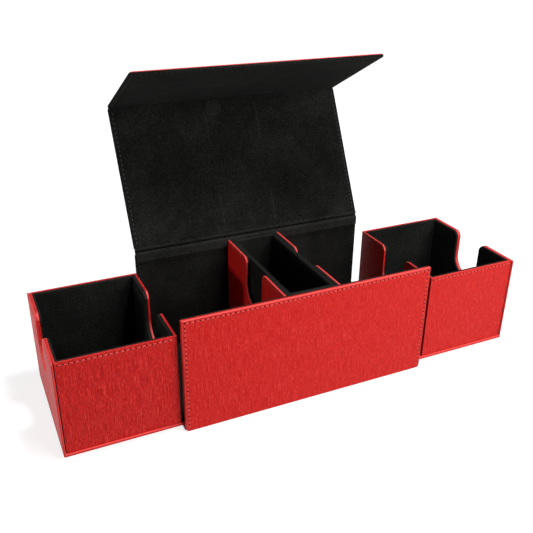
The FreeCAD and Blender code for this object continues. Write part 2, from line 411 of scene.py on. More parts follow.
def red_leather(name, coarse_share, *colours):
    """Embossed red leather whose grain goes through three colours, from dark to pale."""
    material, tree, surface = new_finish(name)
    grain, shade = leather_grain(tree, coarse_share)
    colour = ramp(tree, shade, *zip(grain_stops, colours))
    # Rounded rims take the pale pink as a painted highlight.
    inputs = {"Fac": painted_rim_highlight(tree, rim_highlight_mix), "Color1": colour, "Color2": rim_highlight_colour}
    tree.links.new(add(tree, "MixRGB", inputs).outputs["Color"], surface.inputs["Base Color"])
    tree.links.new(stretch(tree, *grain_range, grain, *roughness_range), surface.inputs["Roughness"])
    raise_grain(tree, surface, grain, grain_strength, grain_height)
    surface.inputs["Specular IOR Level"].default_value = leather_gloss
    print("finish:", name)
    return material, "red_leather"


leather = red_leather("red_leather", 0.45, (0.45, 0.001, 0.0005), (0.57, 0.004, 0.002), (0.71, 0.04, 0.032))
# The left drawer's tray: painted shade and painted raking light, as darker colours and stronger streaks.
raking_lit_leather = red_leather("raking_lit_red_leather", 0.5, (0.34, 0.001, 0.0005), (0.52, 0.002, 0.001),
                           (0.74, 0.04, 0.032))

# %% [markdown]
# ## Black suede
# The lining has a short matt nap. It looks cloudy, because the nap lies one way here and another way
# there, and its folded edges are paler, as a painted highlight, most of all those that look up. A velvet
# shader could be mixed in, but a plain one with a little sheen is enough: large soft noise gives the
# clouds and very fine noise the nap.

# %% Black suede
nap_sizes = (45 * MM, 9 * MM, 1.5 * MM)
nap_weights = (0.38, 0.14, 0.48)
# Share of the painted highlight on the lining's rounded edges.
nap_rim_highlight = 0.2
nap_height = 0.12 * MM
nap_strength = 0.6
nap_colours = ((0.2, (0.001, 0.001, 0.001)), (0.4, (0.0058, 0.0059, 0.0054)),
               (0.5, (0.0098, 0.0099, 0.0092)), (0.65, (0.02, 0.02, 0.0187)))
suede_settings = {"Roughness": 0.9, "Specular IOR Level": 0.02, "Sheen Weight": 0.02, "Sheen Roughness": 0.5,
                  "Sheen Tint": (0.8, 0.82, 0.8, 1.0)}


def suede_nap(tree, place):
    """How far the nap is turned, from clouds down to single tufts, with a painted highlight on rounded edges,
    and the tufts' height.
    """
    nap_and_painted_light = painted_rim_highlight(tree, nap_rim_highlight)
    for size, weight in zip(nap_sizes, nap_weights):
        noise = soft_noise(tree, place, size, 3)
        nap_and_painted_light = reckon(tree, "MULTIPLY_ADD", noise, weight, nap_and_painted_light)
    return nap_and_painted_light, noise


def finish_suede(tree, surface, nap_and_painted_light, nap):
    """Colour a suede by its nap and its painted light and shade, and set its sheen."""
    tree.links.new(ramp(tree, nap_and_painted_light, *nap_colours), surface.inputs["Base Color"])
    raise_grain(tree, surface, nap, nap_strength, nap_height)
    for name, value in suede_settings.items():
        surface.inputs[name].default_value = value


print("nap sizes in mm:", [round(size / MM, 1) for size in nap_sizes])

# %% [markdown]
# ## Pressed suede and painted light
# Where the shut lid rests on the dividers, their edges press the nap flat and leave two pale lines in the
# lid's lining, broken beside the notches. Over the magnet the lining is drawn with a pale disc, and a
# painted highlight in a ring round the bump's rounded edge. At the hinge the strip of suede is drawn paler,
# apart from its crease, which has painted shade. None of these has a depth worth cutting, so the finish
# draws them: it measures distances on the UV map, which is in metres, and makes the nap paler or darker
# there.

# %% Marks in the nap
mark_width = 1.3 * MM
mark_strength = 0.1
mark_gap = 19 * MM
mark_fade = 8 * MM
ring_width = 1.2 * MM
ring_highlight_strength = 0.06
disc_strength = 0.12
crease_width = 1.4 * MM
crease_fade = 1.2 * MM
crease_shade_strength = -0.3
band_strength = 0.1
divider_low, divider_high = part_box("right_divider_cover")


def distance_from(tree, coordinate, value):
    """How far a coordinate lies from a value, either way."""
    return reckon(tree, "ABSOLUTE", reckon(tree, "SUBTRACT", coordinate, value))


def divider_marks(tree, place):
    """Two pale lines where the dividers' edges press, broken at their notches."""
    flat = add(tree, "SeparateXYZ", {"Vector": place}).outputs
    across = distance_from(tree, flat["X"], 0)
    along = distance_from(tree, flat["Y"], 0)
    line = stretch(tree, 0, mark_width, distance_from(tree, across, divider_high.x), mark_strength, 0)
    beside_notch = stretch(tree, mark_gap, mark_gap + mark_fade, along, 0, 1)
    inside_end = stretch(tree, divider_high.y - mark_fade, divider_high.y, along, 1, 0)
    return reckon(tree, "MULTIPLY", line, reckon(tree, "MULTIPLY", beside_notch, inside_end))


def magnet_disc_and_highlight(tree, place, middle, radius):
    """A pale disc, with a painted highlight in a ring round the bump's rounded edge."""
    inputs = {0: place, 1: (middle.x, middle.y, 0)}
    distance = add(tree, "VectorMath", inputs, operation="DISTANCE").outputs["Value"]
    disc = stretch(tree, radius - ring_width, radius + ring_width, distance, disc_strength, 0)
    # The ring is a painted highlight on the bump's rounded edge.
    ring = stretch(tree, 0, ring_width, distance_from(tree, distance, radius), ring_highlight_strength, 0)
    return reckon(tree, "ADD", disc, ring)


def crease_shade_and_pale_band(tree, place, reach):
    """Painted shade in a line across a strip, at a reach along it, and a paler nap on the rest."""
    flat = add(tree, "SeparateXYZ", {"Vector": place}).outputs
    away = distance_from(tree, flat["Y"], reach)
    # The crease gets painted shade; the rest of the strip is made paler.
    return stretch(tree, crease_width, crease_width + crease_fade, away, crease_shade_strength, band_strength)


print("divider lines lie", round(divider_high.x / MM, 1), "mm from the middle")

# %% Suede with marks


def marked_suede(name, *marks):
    """Lining suede, plain or with marks in its nap, each given as a function and its sizes."""
    material, tree, surface = new_finish(name)
    nap_and_painted_light, nap = suede_nap(tree, add(tree, "TexCoord").outputs["Object"])
    place = add(tree, "UVMap", uv_map="grain").outputs["UV"]
    for draw, *sizes in marks:
        nap_and_painted_light = reckon(tree, "ADD", nap_and_painted_light, draw(tree, place, *sizes))
    finish_suede(tree, surface, nap_and_painted_light, nap)
    print("finish:", name)
    return material, "black_suede"


suede = marked_suede("black_suede")

# %% [markdown]
# ## Board, magnets and thread
# The boards and magnets are closed in, but they show when a part is taken apart, so they get a finish
# too: grey board with a fibrous fleck, and plated steel. The thread is red outside and black inside, and
# each needle hole is a small disc of painted shade, sunk below the face.

# %% Board, magnets and thread
fleck_size = 1.2 * MM
brush_size = 0.3 * MM
twist_size = 0.4 * MM
fleck_stops = (0.35, 0.65)
fleck_strength = 0.3
board_gloss = 0.5
thread_gloss = 0.2
hole_gloss = 0.02


def flecked(name, size, dark, pale, roughness, gloss, metallic=0.0):
    """A finish of two colours mixed by fine noise, on the piece's own coordinates."""
    material, tree, surface = new_finish(name)
    noise = soft_noise(tree, add(tree, "TexCoord").outputs["Object"], size, 4)
    tree.links.new(ramp(tree, noise, *zip(fleck_stops, (dark, pale))), surface.inputs["Base Color"])
    raise_grain(tree, surface, noise, fleck_strength, size / 4)
    surface.inputs["Roughness"].default_value = roughness
    surface.inputs["Metallic"].default_value = metallic
    surface.inputs["Specular IOR Level"].default_value = gloss
    print("finish:", name)
    return material


grey_board = flecked("grey_board", fleck_size, (0.15, 0.14, 0.125), (0.24, 0.225, 0.2), 0.9, board_gloss)
plated_steel = flecked("plated_steel", brush_size, (0.5, 0.5, 0.52), (0.66, 0.66, 0.68), 0.3, board_gloss,
                       metallic=1.0)
red_thread = flecked("red_thread", twist_size, (0.62, 0.04, 0.034), (0.8, 0.1, 0.088), 0.6, thread_gloss)
black_thread = flecked("black_thread", twist_size, (0.009, 0.009, 0.0085), (0.018, 0.018, 0.017), 0.6,
                       thread_gloss)
# The needle holes' near-black colour is painted shade.
red_hole_shade = flecked("red_needle_hole_shade", twist_size, (0.003, 0.001, 0.001), (0.01, 0.001, 0.001), 0.95,
                   hole_gloss)
black_hole_shade = flecked("black_needle_hole_shade", twist_size, (0.001, 0.001, 0.001), (0.003, 0.003, 0.003), 0.95,
                     hole_gloss)

for name, node in nodes.items():
    node.data.materials.clear()
    node.data.materials.append(plated_steel if "magnet" in name or "plates" in name else grey_board)

# %% [markdown]
# ## Stitching
# A seam is one stitch repeated: a short run of thread that dives into a needle hole at each end, in a
# shallow channel where the thread pulls the leather in. One stitch is modelled from two small cylinders,
# an array repeats it along a straight row, and the rows of a seam are joined. A thin rod, laid along the
# row, cuts the channel.

# %% One stitch
stitch_pitch = 3.85 * MM
stitch_length = 2.6 * MM
thread_width = 0.9 * MM
thread_height = 0.65 * MM
thread_sink = 0.1 * MM
hole_width = 1.15 * MM
hole_height = 0.2 * MM
hole_sink = 0.12 * MM
stitch_slant = radians(8)
channel_width = 1.3 * MM
channel_depth = 0.24 * MM
rod_sides = 24
stitch_sides = 8


def rod(name, radius, length, sides, turn, place):
    """A small cylinder, turned and placed."""
    put_down()
    bpy.ops.mesh.primitive_cylinder_add(vertices=sides, radius=radius, depth=length, rotation=turn,
                                        location=place)
    piece = bpy.context.object
    piece.name = name
    settle(piece)
    return piece


def model_stitch(thread, hole):
    """One stitch along X, with its hole at the origin and its face towards Z."""
    half = stitch_length / 2
    run = rod("stitch", thread_width / 2, stitch_length, stitch_sides, (0, pi / 2, 0), (0, 0, 0))
    round_over(run, lambda edge: lies_on(edge, 0, half) or lies_on(edge, 0, -half), thread_width / 3, 2)
    run.scale = (1, 1, thread_height / thread_width)
    run.rotation_euler = (0, 0, stitch_slant)
    run.location = (stitch_pitch / 2, 0, -thread_sink)
    settle(run)
    run.data.materials.append(thread)
    # The pit is a near-black disc: painted shade in the needle hole.
    pit = rod("pit", hole_width / 2, hole_height, stitch_sides, (0, 0, 0), (0, 0, -hole_sink))
    pit.data.materials.append(hole)
    pick_up(run)
    pit.select_set(True)
    bpy.ops.object.join()
    pick_up(run)
    bpy.ops.object.shade_smooth_by_angle(angle=sharp_angle)
    run.hide_render = True
    return run


red_stitch = model_stitch(red_thread, red_hole_shade)
black_stitch = model_stitch(black_thread, black_hole_shade)
print("faces of one stitch:", len(red_stitch.data.polygons))

# %% Rows and seams


def stitch_row(stitch, start, end, outward):
    """A straight row of stitches on a face, from one point to another."""
    start = Vector(start)
    line = Vector(end) - start
    count = max(1, round(line.length / stitch_pitch))
    row = stitch.copy()
    row.data = stitch.data.copy()
    row.hide_render = False
    bpy.context.scene.collection.objects.link(row)
    modify(row, "ARRAY", count=count, use_relative_offset=False, use_constant_offset=True,
           constant_offset_displace=(line.length / count, 0, 0))
    along = line.normalized()
    outward = Vector(outward)
    axes = Matrix((along, outward.cross(along), outward)).transposed()
    row.matrix_world = Matrix.Translation(start) @ axes.to_4x4()
    settle(row)
    return row


def seam(name, stitch, outward, rows):
    """Several rows on one face, joined into one piece."""
    made = [stitch_row(stitch, start, end, outward) for start, end in rows]
    pick_up(made[0])
    for row in made[1:]:
        row.select_set(True)
    if len(made) > 1:
        bpy.ops.object.join()
    made[0].name = name
    print(name, "faces:", len(made[0].data.polygons))
    return made[0]


def channel(piece, outward, rows):
    """Cut the shallow channels that the rows of a seam pull into a face."""
    radius = (channel_width ** 2 / 4 + channel_depth ** 2) / (2 * channel_depth)
    for start, end in rows:
        line = Vector(end) - Vector(start)
        middle = (Vector(start) + Vector(end)) / 2 + Vector(outward) * (radius - channel_depth)
        turn = line.to_track_quat("Z", "Y").to_euler()
        carve(piece, rod("channel_cutter", radius, line.length + channel_width, rod_sides, turn, middle))


print("stitches every", stitch_pitch / MM, "mm")

# %% [markdown]
# ## The case
# Front, base and back are three boards in one leather wrap. It could be one bent sheet, but flat panels
# keep their edges crisp: each is a block with its outer edges rounded over, and the board's pocket is
# pressed into its inner side. The front is stitched along its top and its sides. Its lining turns over
# the rim in a narrow lip, which shows as a fine black line behind the leather.

# %% Sizes of the case
front_low, front_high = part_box("front_cover")
back_low, back_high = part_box("back_cover")
half_width = front_high.x
case_top = front_high.z
panel_round = 1.0 * MM
corner_round = 2.8 * MM
corner_steps = 5
suede_round = 0.35 * MM
suede_steps = 3
stitch_inset = 2.6 * MM
stitch_drop = 2.5 * MM
seam_x = half_width - stitch_inset
seam_low = front_low.z + stitch_inset
FRONT, BACK, UP, DOWN = (0, -1, 0), (0, 1, 0), (0, 0, 1), (0, 0, -1)


def on_any(*planes):
    """A test for edges that lie on any of some planes, given as (axis, value)."""
    return lambda edge: any(lies_on(edge, axis, value) for axis, value in planes)


def on_but_off(axis, value, off_axis, off_value):
    """A test for the edges on one plane that don't lie on another."""
    return lambda edge: lies_on(edge, axis, value) and not lies_on(edge, off_axis, off_value)


def through(axis, value, thin):
    """A test for the edges on a plane that run along another axis, through a panel's thickness."""
    return lambda edge: lies_on(edge, axis, value) and not lies_on(edge, thin, edge.verts[0].co[thin])


def side_rows(y, high, low):
    """The two upright rows beside a panel's sides, at a depth."""
    return [((side * seam_x, y, high), (side * seam_x, y, low)) for side in (-1, 1)]


def stitch_and_dress(piece, body, node, boards, outward, rows, seam_name):
    """Cut a leather piece's stitch channels, press its boards in, dress it and stitch it."""
    channel(piece, outward, rows)
    press_board(piece, *boards)
    dress(piece, body, leather, [node])
    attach(seam(seam_name, red_stitch, outward, rows), body)


def lining(name, node, body, edge=suede_round):
    """A suede sheet with softened edges in a packed lining's place."""
    piece = block(name, *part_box(node))
    soften(piece, edge)
    return dress(piece, body, suede, [node])


print("case width and height in mm:", round(2 * half_width / MM, 1), round(case_top / MM, 1))

# %% Case leather
seam_top = case_top - stitch_drop
front_rows = [((-seam_x, front_low.y, seam_top), (seam_x, front_low.y, seam_top))]
front_rows += side_rows(front_low.y, seam_top, seam_low)
front = block("front_leather", front_low, front_high)
round_over(front, through(2, front_low.z, 1), corner_round, corner_steps)
round_over(front, on_any((1, front_low.y), (2, front_high.z)), panel_round)
stitch_and_dress(front, "case", "front_cover", ["front_board"], FRONT, front_rows, "front_stitching")

back_rows = side_rows(back_high.y, back_high.z - stitch_inset, seam_low)
back = block("back_leather", back_low, back_high)
round_over(back, through(2, back_low.z, 1), corner_round, corner_steps)
round_over(back, on_but_off(1, back_high.y, 2, back_high.z), panel_round)
stitch_and_dress(back, "case", "back_cover", ["back_board"], BACK, back_rows, "back_stitching")

base = block("base_leather", *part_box("base_cover"))
press_board(base, "base_board")
dress(base, "case", leather, ["base_cover"])

# %% Case linings
rim_lip = 1.0 * MM
rim_lift = 0.1 * MM
lip_depth = 0.9 * MM
front_sheet_low, front_sheet_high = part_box("front_lining")
front_suede = block("front_suede", front_sheet_low, front_sheet_high)
front_lip = block("front_lip", (front_sheet_low.x, front_sheet_low.y - rim_lip, case_top - lip_depth),
                  (front_sheet_high.x, front_sheet_high.y, case_top + rim_lift))
weld(front_suede, front_lip)
soften(front_suede, suede_round)
dress(front_suede, "case", suede, ["front_lining"])
lining("base_suede", "base_lining", "case")
lining("centre_floor_suede", "centre_floor", "case")

# %% [markdown]
# ## The lid and its flap
# They could be modelled where they stand, but it is easier to work square to the box: they are made as
# they lie when shut, and then turned open about the hinge in one move, as the hinge joint says. Their
# suede reaches a little past the leather and shows as a thin dark lip round the sides, so its block is
# cut to a shallow tray that holds the leather. Over the magnet a flat disc is joined to the lid's sheet,
# for the faint round bump.

# %% Turn the lid open
hinge = joints["lid_hinge"]
hinge_place = Vector(hinge["pos_m"])
lid_turn = Matrix.Rotation(radians(-hinge["range_deg"][0]), 4, Vector(hinge["axis"]))
to_open = Matrix.Translation(hinge_place) @ lid_turn @ Matrix.Translation(-hinge_place)
to_shut = to_open.inverted()


def shut_box(node):
    """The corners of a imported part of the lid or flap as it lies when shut."""
    places = [to_shut @ corner.co for corner in nodes[node].data.vertices]
    low = Vector(min(place[axis] for place in places) for axis in range(3))
    high = Vector(max(place[axis] for place in places) for axis in range(3))
    return low, high


def turn_open(piece):
    """Turn a piece that was modelled shut to where the open lid holds it."""
    piece.matrix_world = to_open
    settle(piece)
    return piece


lid_low, lid_high = shut_box("lid_cover")
flap_low, flap_high = shut_box("flap_cover")
lid_inner = shut_box("lid_lining")[0].z
flap_inner = shut_box("flap_lining")[1].y
print("lid turned open by", round(-hinge["range_deg"][0]), "degrees")

# %% Seams of the lid and flap


def lid_rows(z):
    """The two side rows of the lid at a height."""
    return [((side * seam_x, lid_high.y - stitch_inset, z), (side * seam_x, lid_low.y + stitch_inset, z))
            for side in (-1, 1)]


def flap_rows(y):
    """The flap's two side rows and the row along its free edge, at a depth."""
    low = flap_low.z + stitch_inset
    return side_rows(y, flap_high.z - stitch_inset, low) + [((-seam_x, y, low), (seam_x, y, low))]


def finish_open(piece, body, finish, node, *boards):
    """Lay the grain on a shut piece, turn it open, press its boards in and dress it."""
    lay_grain(piece)
    turn_open(piece)
    press_board(piece, *boards)
    dress(piece, body, finish, [node], mapped=True)


print("rows of the lid and the flap:", len(lid_rows(lid_high.z)), len(flap_rows(flap_low.y)))

# %% Lid and flap leather
lid = block("lid_leather", lid_low, lid_high)
lid_sides = on_any((0, lid_low.x), (0, lid_high.x))
round_over(lid, lambda edge: lies_on(edge, 2, lid_high.z) and lid_sides(edge), panel_round)
channel(lid, UP, lid_rows(lid_high.z))
finish_open(lid, "lid", leather, "lid_cover", "lid_board")

flap = block("flap_leather", flap_low, flap_high)
round_over(flap, through(2, flap_low.z, 1), corner_round, corner_steps)
round_over(flap, on_but_off(1, flap_low.y, 2, flap_high.z), panel_round)
channel(flap, FRONT, flap_rows(flap_low.y))
finish_open(flap, "flap", leather, "flap_cover", "flap_board")

# %% Lid lining
lip = 0.3 * MM
lid_lip_stop = 1.3 * MM
bump_height = 0.3 * MM
bump_spread = 1.0 * MM
bump_round = 0.24 * MM
magnet_low, magnet_high = shut_box("lid_magnet")
magnet_middle = (magnet_low + magnet_high) / 2
bump_radius = (magnet_high.x - magnet_low.x) / 2 + bump_spread

sheet_low, sheet_high = shut_box("lid_lining")
lid_suede = block("lid_suede", (-half_width - lip, sheet_low.y, lid_inner),
                  (half_width + lip, sheet_high.y, lid_high.z - lid_lip_stop))
round_over(lid_suede, on_any((2, lid_inner)), suede_round, suede_steps)
carve(lid_suede, block("lid_core", (-half_width, lid_low.y - spare, sheet_high.z),
                       (half_width, lid_high.y + spare, lid_high.z)))
bump = rod("magnet_bump", bump_radius, 2 * bump_height, 2 * rod_sides, (0, 0, 0),
           (magnet_middle.x, magnet_middle.y, lid_inner))
round_over(bump, on_any((2, lid_inner - bump_height)), bump_round, suede_steps)
weld(lid_suede, bump)
channel(lid_suede, DOWN, lid_rows(lid_inner))
pressed_and_highlit_suede = marked_suede("pressed_and_highlit_suede", (divider_marks,), (magnet_disc_and_highlight, magnet_middle, bump_radius))
finish_open(lid_suede, "lid", pressed_and_highlit_suede, "lid_lining")

# %% Flap lining
flap_lip_stop = 0.9 * MM
sheet_low, sheet_high = shut_box("flap_lining")
flap_suede = block("flap_suede", (-half_width - lip, flap_low.y + flap_lip_stop, flap_low.z - lip),
                   (half_width + lip, flap_inner, sheet_high.z))
round_over(flap_suede, through(2, flap_low.z - lip, 1), corner_round + lip, corner_steps)
round_over(flap_suede, on_any((1, flap_inner)), suede_round, suede_steps)
flap_core = block("flap_core", (-half_width, flap_low.y - spare, flap_low.z),
                  (half_width, sheet_low.y, flap_high.z + spare))
round_over(flap_core, through(2, flap_low.z, 1), corner_round, corner_steps)
carve(flap_suede, flap_core)
channel(flap_suede, BACK, flap_rows(flap_inner))
finish_open(flap_suede, "flap", suede, "flap_lining")

# %% Lid and flap stitching
for name, stitch, outward, rows, body in (
        ("lid_stitching", red_stitch, UP, lid_rows(lid_high.z), "lid"),
        ("lid_suede_stitching", black_stitch, DOWN, lid_rows(lid_inner), "lid"),
        ("flap_stitching", red_stitch, FRONT, flap_rows(flap_low.y), "flap"),
        ("flap_suede_stitching", black_stitch, BACK, flap_rows(flap_inner), "flap")):
    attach(turn_open(seam(name, stitch, outward, rows)), body)

# %% [markdown]
# ## The hinge and the fold
# Between the boards the leather and the suede run on alone and bend. A strip could be a curve with a
# bevel, but a grid takes the grain and its own thickness: it is about as wide as the box, and is laid along
# a smooth curve from one board to the next, as the lid stands open; it rides on no body. The hinge's suede
# is glued over the back's lining in a band, and dips into the crease above it.

# %% Bending strips
curve_steps = 12
end_inset = 0.6 * MM
strip_width = 2 * (half_width - end_inset)
suede_width = 2 * shut_box("lid_lining")[1].x
leather_thickness = 0.8 * MM
suede_thickness = 0.8 * MM


def strip(name, path, thickness, width):
    """A sheet that follows a path of (y, z) points, with its thickness to one side."""
    steps = len(path) - 1
    put_down()
    bpy.ops.mesh.primitive_grid_add(x_subdivisions=1, y_subdivisions=steps, size=1)
    piece = bpy.context.object
    piece.name = name
    mesh = piece.data
    layer = mesh.uv_layers.active
    layer.name = "grain"
    lengths = [0.0]
    for start, end in zip(path, path[1:]):
        lengths.append(lengths[-1] + (end - start).length)
    for loop in mesh.loops:
        corner = mesh.vertices[loop.vertex_index].co
        row = round((corner.y + 0.5) * steps)
        layer.data[loop.index].uv = (corner.x * width, lengths[row])
    for corner in mesh.vertices:
        row = round((corner.co.y + 0.5) * steps)
        corner.co = (corner.co.x * width, path[row].y, path[row].z)
    modify(piece, "SOLIDIFY", thickness=thickness, offset=1.0)
    return piece


def bend(start, start_pull, end_pull, end):
    """Points on a smooth curve between two places in the box's side view."""
    places = [Vector((0, *place)) for place in (start, start_pull, end_pull, end)]
    return interpolate_bezier(*places, curve_steps + 1)


def opened(y, z):
    """A place on the shut lid, given in the side view, after the lid is turned open."""
    place = to_open @ Vector((0, y, z))
    return Vector((place.y, place.z))


def lid_end(z):
    """The open lid's hinge end, for a height on the shut lid, and the way that the lid runs from it."""
    end = opened(lid_high.y, z)
    return end, (opened(lid_low.y, z) - end).normalized()


print("strips are", round(strip_width / MM, 1), "and", round(suede_width / MM, 1), "mm wide")

# %% Hinge leather
pull = 1.6 * MM
upward = Vector((0, 1))

outer_start = Vector((back_high.y, back_high.z))
outer_end, outer_along = lid_end(lid_high.z)
outer_path = bend(outer_start, outer_start + upward * pull, outer_end - outer_along * pull, outer_end)
hinge_leather = strip("hinge_leather_strip", outer_path, -leather_thickness, strip_width)
dress(hinge_leather, None, leather, ["hinge_leather"], mapped=True)
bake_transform(hinge_leather)

# %% Hinge suede
band_height = 5.5 * MM
band_proud = 0.5 * MM
band_rise = 0.4 * MM
crease_depth = 0.8 * MM
into_crease = Vector((-1, -0.2))
out_of_crease = Vector((-1, 0.3))
back_lining_low, back_lining_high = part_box("back_lining")
band_y = back_lining_low.y - band_proud
band_low = Vector((band_y, back_high.z - band_height))
band_high = Vector((band_y, back_high.z + band_rise))
crease = Vector((hinge_place.y + crease_depth, hinge_place.z))
inner_end, inner_along = lid_end(lid_inner)

lower_path = bend(band_high, band_high + upward * pull, crease + into_crease * pull, crease)
upper_path = bend(crease, crease + out_of_crease * pull, inner_end - inner_along * pull, inner_end)
band_path = [Vector((0, *band_low))] + lower_path
hinge_suede = strip("hinge_suede_strip", band_path + upper_path[1:], suede_thickness, suede_width)
crease_reach = sum((end - start).length for start, end in zip(band_path, band_path[1:]))
# The crease's darkening is painted shade.
crease_shaded_suede = marked_suede("crease_shaded_suede", (crease_shade_and_pale_band, crease_reach))
dress(hinge_suede, None, crease_shaded_suede, ["hinge_lining"], mapped=True)
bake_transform(hinge_suede)

# %% Back lining under the band
back_suede_rows = side_rows(back_lining_low.y, band_low.y - stitch_inset, seam_low)
back_suede = block("back_suede", (-half_width - lip, back_lining_low.y, back_lining_low.z),
                   (half_width + lip, back_high.y - lid_lip_stop, back_lining_high.z))
round_over(back_suede, on_any((1, back_lining_low.y)), suede_round, suede_steps)
carve(back_suede, block("back_core", (-half_width, back_lining_high.y, back_low.z),
                        (half_width, back_high.y, back_high.z + spare)))
channel(back_suede, FRONT, back_suede_rows)
dress(back_suede, "case", suede, ["back_lining"])
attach(seam("back_suede_stitching", black_stitch, FRONT, back_suede_rows), "case")

# %% Fold between lid and flap
flap_hinge_place = to_shut @ Vector(joints["flap_hinge"]["pos_m"])
fold_y = flap_hinge_place.y
fold_z = flap_hinge_place.z
quarter_round = 0.5523
pull_y = (fold_y - flap_low.y) * quarter_round
pull_z = (lid_high.z - fold_z) * quarter_round

lid_edge = [Vector((0, lid_low.y, lid_high.z))]
flap_edge = [Vector((0, flap_low.y, flap_high.z))]
fold_path = bend((fold_y, lid_high.z), (fold_y - pull_y, lid_high.z),
                 (flap_low.y, fold_z + pull_z), (flap_low.y, fold_z))
fold_leather = strip("fold_leather_strip", lid_edge + fold_path + flap_edge, leather_thickness, strip_width)
turn_open(fold_leather)
dress(fold_leather, None, leather, ["fold_leather"], mapped=True)

crease_path = bend((lid_low.y, lid_inner), (fold_y, lid_inner), (fold_y, lid_inner), (fold_y, flap_high.z))
fold_suede = strip("fold_suede_strip", crease_path, -suede_thickness, suede_width)
turn_open(fold_suede)
dress(fold_suede, None, suede, ["fold_lining"], mapped=True)
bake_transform(fold_leather)
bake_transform(fold_suede)

# %% [markdown]
# ## Notched walls
# The dividers and the drawers' ends have a deep finger notch. It could be drawn as an outline and
# extruded, but a cut is nearer to how the board is punched: a block with its two lower edges fully
# rounded makes the cutter. After the cut, the notch's two lips are rounded over in edit mode, which
# flares its mouth.

# %% Finger notch
drawer_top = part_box("left_drawer_tray_cover")[1].z
divider_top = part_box("left_divider_cover")[1].z
notch_half = 15.5 * MM
notch_depth = 39 * MM
notch_flare = 6 * MM
notch_fullness = 0.998
notch_steps = 16
flare_steps = 8
suede_reveal = drawer_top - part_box("left_drawer_front_lining")[1].z


def cut_notch(piece, x_from, x_to, top, reveal=0.0):
    """Cut a finger notch along X, grown and lowered by a reveal, and round its lips."""
    half = notch_half + reveal
    mouth = top - reveal
    low = top - notch_depth - reveal
    cutter = block("notch_cutter", (min(x_from, x_to) - spare, -half, low),
                   (max(x_from, x_to) + spare, half, top + spare))
    round_over(cutter, through(2, low, 0), half * notch_fullness, notch_steps)
    carve(piece, cutter)

    def is_lip(edge):
        along_x = abs(edge.verts[0].co.x - edge.verts[1].co.x) > TINY
        return along_x and lies_on(edge, 2, mouth) and (lies_on(edge, 1, half) or lies_on(edge, 1, -half))

    round_over(piece, is_lip, notch_flare - reveal, flare_steps)


def notched_lining(name, node, body, top, edge):
    """A notched suede sheet with softened edges in a packed lining's place."""
    low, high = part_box(node)
    liner = block(name, low, high)
    cut_notch(liner, low.x, high.x, top, suede_reveal)
    soften(liner, edge)
    dress(liner, body, suede, [node])


def tab_rows(x, high):
    """The two short rows beside a notch, on a wall whose highest corner is given."""
    z = high.z - stitch_drop
    return [((x, turn * (notch_half + notch_flare), z), (x, turn * (high.y - stitch_inset), z))
            for turn in (-1, 1)]


print("notch width and depth in mm:", round(2 * notch_half / MM, 1), round(notch_depth / MM, 1))

# %% Dividers
divider_round = 0.85 * MM
for hand, outward in (("left", -1), ("right", 1)):
    wall = hand + "_divider"
    low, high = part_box(wall + "_cover")
    rows = tab_rows(high.x if outward > 0 else low.x, high)
    cover = block(wall + "_leather", low, high)
    cut_notch(cover, low.x, high.x, divider_top)
    soften(cover, divider_round)
    stitch_and_dress(cover, "case", wall + "_cover", [wall + "_board"], (outward, 0, 0), rows,
                     wall + "_stitching")
    notched_lining(wall + "_suede", wall + "_lining", "case", divider_top, suede_round)

# %% [markdown]
# ## The drawers
# Each drawer is an L of end panel and base, with a tongue that stays in the case, and a lined tray that
# stands on it. Two blocks could make the L, but one whose end is extruded upwards has no seam. The tray
# is a block with its middle cut out. A black sheet lies between the two and runs on over the tongue: it
# is painted shade, in the gaps beside the tray and beside the case's front. At the left drawer its edge
# shows as a fine dark line; at the right one it lies further in.

# %% Drawer shell
shell_round = 0.7 * MM


def ell(name, low, high, split, step, outward):
    """A flat block whose outward end, past a split, is extruded up to its full height."""
    piece = block(name, low, (high.x, high.y, step))
    select(piece, "FACE", lambda face: True)
    bpy.ops.mesh.bisect(plane_co=(split, 0, 0), plane_no=(1, 0, 0))
    put_down()
    select(piece, "FACE", lambda face: lies_on(face, 2, step)
           and (face.calc_center_median().x - split) * outward > 0)
    bpy.ops.mesh.extrude_region_move(TRANSFORM_OT_translate={"value": (0, 0, high.z - step)})
    put_down()
    return piece


def drawer_shell(hand, outward):
    """The leather L of end panel and base."""
    body = hand + "_drawer"
    low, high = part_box(body + "_shell_cover")
    tray_low, tray_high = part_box(body + "_tray_cover")
    split = tray_high.x if outward > 0 else tray_low.x
    end = high.x if outward > 0 else low.x
    rows = tab_rows(end, high)
    shell = ell(body + "_shell_leather", low, high, split, tray_low.z, outward)
    cut_notch(shell, split, end, high.z)
    soften(shell, shell_round)
    stitch_and_dress(shell, body, body + "_shell_cover", [body + "_end_board", body + "_base_board"],
                     (outward, 0, 0), rows, body + "_end_stitching")


print("drawer ends rounded by", round(shell_round / MM, 2), "mm")

# %% Black sheet of painted shade
sheet_thickness = 0.8 * MM
tongue_sheet = 0.2 * MM
sheet_tip = 0.1 * MM
# How far the sheet of painted shade stands back from the tray's sides.
sheet_setback = {"left": 0.25 * MM, "right": 1.0 * MM}


def shade_sheet(hand, outward):
    """The thin black sheet between the L and the tray, which runs on over the tongue, as painted shade."""
    body = hand + "_drawer"
    low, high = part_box(body + "_tray_cover")
    shell_low, shell_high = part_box(body + "_shell_cover")
    setback = sheet_setback[hand]
    low_corner = low + Vector((0, setback, 0))
    high_corner = high - Vector((0, setback, 2 * setback))
    if outward > 0:
        low_corner.x = shell_low.x + sheet_tip
        split = high.x - sheet_thickness
    else:
        high_corner.x = shell_high.x - sheet_tip
        split = low.x + sheet_thickness
    sheet = ell(body + "_shade_sheet", low_corner, high_corner, split, low.z + tongue_sheet, outward)
    cut_notch(sheet, low.x, high.x, high.z, 2 * setback)
    dress(sheet, body, suede)


# The sheet is painted shade in the gaps.
print("glue sheet thickness in mm:", round(sheet_thickness / MM, 2))

